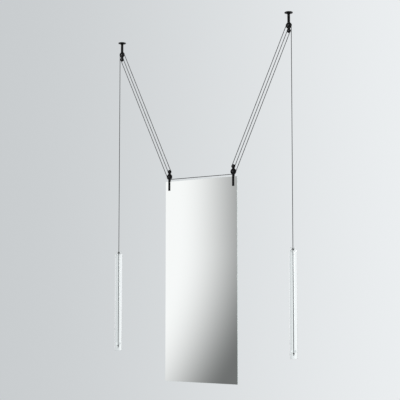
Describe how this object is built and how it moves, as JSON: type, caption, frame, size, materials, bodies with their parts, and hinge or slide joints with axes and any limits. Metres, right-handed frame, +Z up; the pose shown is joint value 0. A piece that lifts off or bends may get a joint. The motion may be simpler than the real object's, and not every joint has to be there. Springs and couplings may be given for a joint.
{
  "type": "counterweighted hanging wall mirror",
  "caption": "Frameless rectangular mirror hung from the ceiling on one cord reeved over grooved sheaves, balanced by clear glass tubes so that it stays at any height.",
  "frame": {"origin": "on the ceiling's face, midway between the two ceiling plates, which hold the object up", "axes": "+X to the viewer's right along the mirror's width, -Y towards the viewer, +Z up; every sheave and the whole cord lie in the plane y = 0"},
  "size_m": [1.2556, 0.048, 2.113],
  "materials": {
    "black_coated_steel": "satin black powder coat",
    "black_sheave": "black anodised, turned",
    "bare_steel": "bare, riveted ends and screw heads",
    "mirror_silver": "polished float glass, silvered at the back",
    "backing_film": "grey paint under safety film",
    "clamp_rubber": "matt",
    "braided_cord": "grey braid",
    "clear_glass": "clear, drawn and flame-worked",
    "stopper_rubber": "matt black",
    "clear_plastic": "clear, turned"
  },
  "bodies": {
    "root": {"ceiling_plate_left": "black_coated_steel", "plate_screw_outer_left": "bare_steel", "plate_screw_inner_left": "bare_steel", "hanger_rod_left": "black_coated_steel", "upper_large_axle_left": "bare_steel", "upper_small_axle_left": "bare_steel", "cord_over_large_left": "braided_cord", "cord_over_small_left": "braided_cord", "ceiling_plate_right": "black_coated_steel", "plate_screw_outer_right": "bare_steel", "plate_screw_inner_right": "bare_steel", "hanger_rod_right": "black_coated_steel", "upper_large_axle_right": "bare_steel", "upper_small_axle_right": "bare_steel", "cord_over_large_right": "braided_cord", "cord_over_small_right": "braided_cord"},
    "falls": {"fall_inner_left": "braided_cord", "fall_middle_left": "braided_cord", "fall_outer_left": "braided_cord", "fall_inner_right": "braided_cord", "fall_middle_right": "braided_cord", "fall_outer_right": "braided_cord"},
    "carriage": {"mirror_glass": "mirror_silver", "mirror_backing": "backing_film", "cross_cord": "braided_cord", "mirror_bar_left": "black_coated_steel", "lower_large_axle_left": "bare_steel", "lower_small_axle_left": "bare_steel", "front_pad_left": "clamp_rubber", "rear_pad_left": "clamp_rubber", "grub_screw_upper_left": "bare_steel", "grub_screw_lower_left": "bare_steel", "cord_under_small_left": "braided_cord", "mirror_bar_right": "black_coated_steel", "lower_large_axle_right": "bare_steel", "lower_small_axle_right": "bare_steel", "front_pad_right": "clamp_rubber", "rear_pad_right": "clamp_rubber", "grub_screw_upper_right": "bare_steel", "grub_screw_lower_right": "bare_steel", "cord_under_small_right": "braided_cord"},
    "drop_left": {"drop_cord_left": "braided_cord"},
    "weight_left": {"glass_tube_left": "clear_glass", "stopper_left": "stopper_rubber", "base_plug_left": "clear_plastic", "tail_cord_left": "braided_cord"},
    "upper_large_wheel_left": {"upper_large_sheave_left": "black_sheave"},
    "upper_small_wheel_left": {"upper_small_sheave_left": "black_sheave"},
    "lower_large_wheel_left": {"lower_large_sheave_left": "black_sheave"},
    "lower_small_wheel_left": {"lower_small_sheave_left": "black_sheave"},
    "drop_right": {"drop_cord_right": "braided_cord"},
    "weight_right": {"glass_tube_right": "clear_glass", "stopper_right": "stopper_rubber", "base_plug_right": "clear_plastic", "tail_cord_right": "braided_cord"},
    "upper_large_wheel_right": {"upper_large_sheave_right": "black_sheave"},
    "upper_small_wheel_right": {"upper_small_sheave_right": "black_sheave"},
    "lower_large_wheel_right": {"lower_large_sheave_right": "black_sheave"},
    "lower_small_wheel_right": {"lower_small_sheave_right": "black_sheave"}
  },
  "joints": [
    {"name": "mirror_swing", "type": "hinge", "parent": "root", "child": "falls", "pos_m": [0, 0, -0.0915], "axis": [1, 0, 0], "range_deg": [-8, 1.5]},
    {"name": "mirror_lift", "type": "slide", "parent": "falls", "child": "carriage", "axis": [0, 0, 1], "range_m": [-0.35, 0.2], "deforming": ["fall_inner_left", "fall_middle_left", "fall_outer_left", "fall_inner_right", "fall_middle_right", "fall_outer_right"]},
    {"name": "weight_swing_left", "type": "hinge", "parent": "root", "child": "drop_left", "pos_m": [-0.6058, 0, -0.076], "axis": [0, 1, 0], "range_deg": [-6, 6]},
    {"name": "weight_travel_left", "type": "slide", "parent": "drop_left", "child": "weight_left", "axis": [0, 0, 1], "range_m": [-0.55, 0.96], "deforming": ["drop_cord_left"]},
    {"name": "upper_large_spin_left", "type": "hinge", "parent": "root", "child": "upper_large_wheel_left", "pos_m": [-0.59, 0, -0.076], "axis": [0, 1, 0], "continuous": true},
    {"name": "upper_small_spin_left", "type": "hinge", "parent": "root", "child": "upper_small_wheel_left", "pos_m": [-0.59, 0, -0.107], "axis": [0, 1, 0], "continuous": true},
    {"name": "lower_small_spin_left", "type": "hinge", "parent": "carriage", "child": "lower_small_wheel_left", "pos_m": [-0.224, 0, -0.853], "axis": [0, 1, 0], "continuous": true},
    {"name": "lower_large_spin_left", "type": "hinge", "parent": "carriage", "child": "lower_large_wheel_left", "pos_m": [-0.224, 0, -0.884], "axis": [0, 1, 0], "continuous": true},
    {"name": "weight_swing_right", "type": "hinge", "parent": "root", "child": "drop_right", "pos_m": [0.6058, 0, -0.076], "axis": [0, 1, 0], "range_deg": [-6, 6]},
    {"name": "weight_travel_right", "type": "slide", "parent": "drop_right", "child": "weight_right", "axis": [0, 0, 1], "range_m": [-0.55, 0.96], "deforming": ["drop_cord_right"]},
    {"name": "upper_large_spin_right", "type": "hinge", "parent": "root", "child": "upper_large_wheel_right", "pos_m": [0.59, 0, -0.076], "axis": [0, 1, 0], "continuous": true},
    {"name": "upper_small_spin_right", "type": "hinge", "parent": "root", "child": "upper_small_wheel_right", "pos_m": [0.59, 0, -0.107], "axis": [0, 1, 0], "continuous": true},
    {"name": "lower_small_spin_right", "type": "hinge", "parent": "carriage", "child": "lower_small_wheel_right", "pos_m": [0.224, 0, -0.853], "axis": [0, 1, 0], "continuous": true},
    {"name": "lower_large_spin_right", "type": "hinge", "parent": "carriage", "child": "lower_large_wheel_right", "pos_m": [0.224, 0, -0.884], "axis": [0, 1, 0], "continuous": true}
  ],
  "couplings": [
    {"joint": "weight_travel_left", "follows": "mirror_lift", "ratio": -2.7231},
    {"joint": "upper_large_spin_left", "follows": "mirror_lift", "rad_per_m": -172.35},
    {"joint": "upper_small_spin_left", "follows": "mirror_lift", "rad_per_m": 94.552},
    {"joint": "lower_small_spin_left", "follows": "mirror_lift", "rad_per_m": -189.1},
    {"joint": "weight_travel_right", "follows": "mirror_lift", "ratio": -2.7231},
    {"joint": "upper_large_spin_right", "follows": "mirror_lift", "rad_per_m": 172.35},
    {"joint": "upper_small_spin_right", "follows": "mirror_lift", "rad_per_m": -94.552},
    {"joint": "lower_small_spin_right", "follows": "mirror_lift", "rad_per_m": 189.1}
  ]
}
